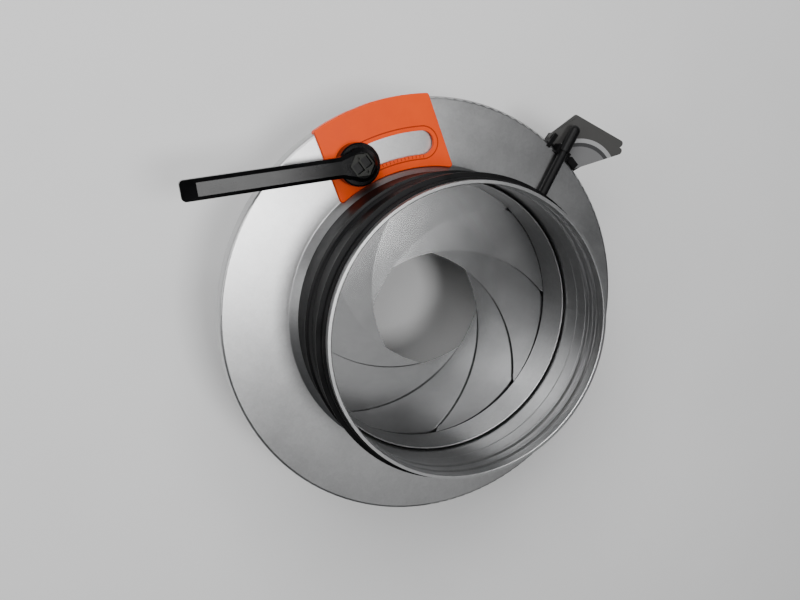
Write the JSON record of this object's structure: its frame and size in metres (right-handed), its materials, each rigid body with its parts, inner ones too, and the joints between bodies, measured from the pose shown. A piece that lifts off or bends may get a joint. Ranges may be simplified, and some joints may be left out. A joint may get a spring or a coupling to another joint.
{
  "type": "iris damper",
  "caption": "Round-duct iris damper: overlapping steel blades in a flat housing swing together as a clamping lever turns the control ring; sealed spigots at both ends.",
  "frame": {"origin": "centre of the rim of the rear spigot, on which the damper stands", "axes": "+Z along the duct axis towards the lever side, +Y towards the scale plate, +X to its right"},
  "size_m": [0.253, 0.2314, 0.124],
  "materials": {
    "galvanised_sheet": "galvanised, satin",
    "blade_steel": "smooth galvanised, glossy",
    "plain_steel": "zinc plated",
    "seal_rubber": "satin",
    "orange_plastic": "satin",
    "black_plastic": "satin",
    "insert_plastic": "satin",
    "printed_card": "matt"
  },
  "bodies": {
    "housing": {"front_flange": "galvanised_sheet", "front_spigot": "galvanised_sheet", "rear_flange": "galvanised_sheet", "rear_spigot": "galvanised_sheet", "front_guide_ring": "galvanised_sheet", "rear_guide_ring": "galvanised_sheet", "front_seal": "seal_rubber", "rear_seal": "seal_rubber", "pivot_clips": "plain_steel", "scale_plate": "orange_plastic", "front_nozzle": "black_plastic", "rear_nozzle": "black_plastic", "front_nozzle_cap": "seal_rubber", "rear_nozzle_cap": "seal_rubber", "card_clip": "black_plastic", "front_card": "printed_card", "back_card": "printed_card", "pivot_post_1": "plain_steel", "pivot_post_2": "plain_steel", "pivot_post_3": "plain_steel", "pivot_post_4": "plain_steel", "pivot_post_5": "plain_steel", "pivot_post_6": "plain_steel", "pivot_post_7": "plain_steel", "pivot_post_8": "plain_steel"},
    "ring": {"control_ring": "blade_steel", "guide_bush": "black_plastic", "clamp_nut": "plain_steel"},
    "lever": {"clamp_lever": "black_plastic", "lever_insert": "insert_plastic", "clamp_screw": "plain_steel"},
    "blade_1": {"blade_1": "blade_steel", "drive_stud_1": "plain_steel"},
    "blade_2": {"blade_2": "blade_steel", "drive_stud_2": "plain_steel"},
    "blade_3": {"blade_3": "blade_steel", "drive_stud_3": "plain_steel"},
    "blade_4": {"blade_4": "blade_steel", "drive_stud_4": "plain_steel"},
    "blade_5": {"blade_5": "blade_steel", "drive_stud_5": "plain_steel"},
    "blade_6": {"blade_6": "blade_steel", "drive_stud_6": "plain_steel"},
    "blade_7": {"blade_7": "blade_steel", "drive_stud_7": "plain_steel"},
    "blade_8": {"blade_8": "blade_steel", "drive_stud_8": "plain_steel"}
  },
  "joints": [
    {"name": "ring_turn", "type": "hinge", "parent": "housing", "child": "ring", "pos_m": [0, 0, 0.0669], "axis": [0, 0, 1], "range_deg": [-24.28, 0]},
    {"name": "lever_turn", "type": "hinge", "parent": "ring", "child": "lever", "pos_m": [-0.04361, 0.08032, 0.0705], "axis": [0, 0, 1], "range_deg": [0, 40]},
    {"name": "blade_1_swing", "type": "hinge", "parent": "housing", "child": "blade_1", "pos_m": [0.10644, 0.01093, 0.0643], "axis": [0, 0, 1], "range_deg": [-24.28, 0]},
    {"name": "blade_2_swing", "type": "hinge", "parent": "housing", "child": "blade_2", "pos_m": [0.06754, 0.08299, 0.0643], "axis": [0, 0, 1], "range_deg": [-24.28, 0]},
    {"name": "blade_3_swing", "type": "hinge", "parent": "housing", "child": "blade_3", "pos_m": [-0.01093, 0.10644, 0.0643], "axis": [0, 0, 1], "range_deg": [-24.28, 0]},
    {"name": "blade_4_swing", "type": "hinge", "parent": "housing", "child": "blade_4", "pos_m": [-0.08299, 0.06754, 0.0643], "axis": [0, 0, 1], "range_deg": [-24.28, 0]},
    {"name": "blade_5_swing", "type": "hinge", "parent": "housing", "child": "blade_5", "pos_m": [-0.10644, -0.01093, 0.0643], "axis": [0, 0, 1], "range_deg": [-24.28, 0]},
    {"name": "blade_6_swing", "type": "hinge", "parent": "housing", "child": "blade_6", "pos_m": [-0.06754, -0.08299, 0.0643], "axis": [0, 0, 1], "range_deg": [-24.28, 0]},
    {"name": "blade_7_swing", "type": "hinge", "parent": "housing", "child": "blade_7", "pos_m": [0.01093, -0.10644, 0.0643], "axis": [0, 0, 1], "range_deg": [-24.28, 0]},
    {"name": "blade_8_swing", "type": "hinge", "parent": "housing", "child": "blade_8", "pos_m": [0.08299, -0.06754, 0.0643], "axis": [0, 0, 1], "range_deg": [-24.28, 0]}
  ],
  "couplings": [
    {"joint": "blade_1_swing", "follows": "ring_turn", "ratio": 1},
    {"joint": "blade_2_swing", "follows": "ring_turn", "ratio": 1},
    {"joint": "blade_3_swing", "follows": "ring_turn", "ratio": 1},
    {"joint": "blade_4_swing", "follows": "ring_turn", "ratio": 1},
    {"joint": "blade_5_swing", "follows": "ring_turn", "ratio": 1},
    {"joint": "blade_6_swing", "follows": "ring_turn", "ratio": 1},
    {"joint": "blade_7_swing", "follows": "ring_turn", "ratio": 1},
    {"joint": "blade_8_swing", "follows": "ring_turn", "ratio": 1}
  ]
}
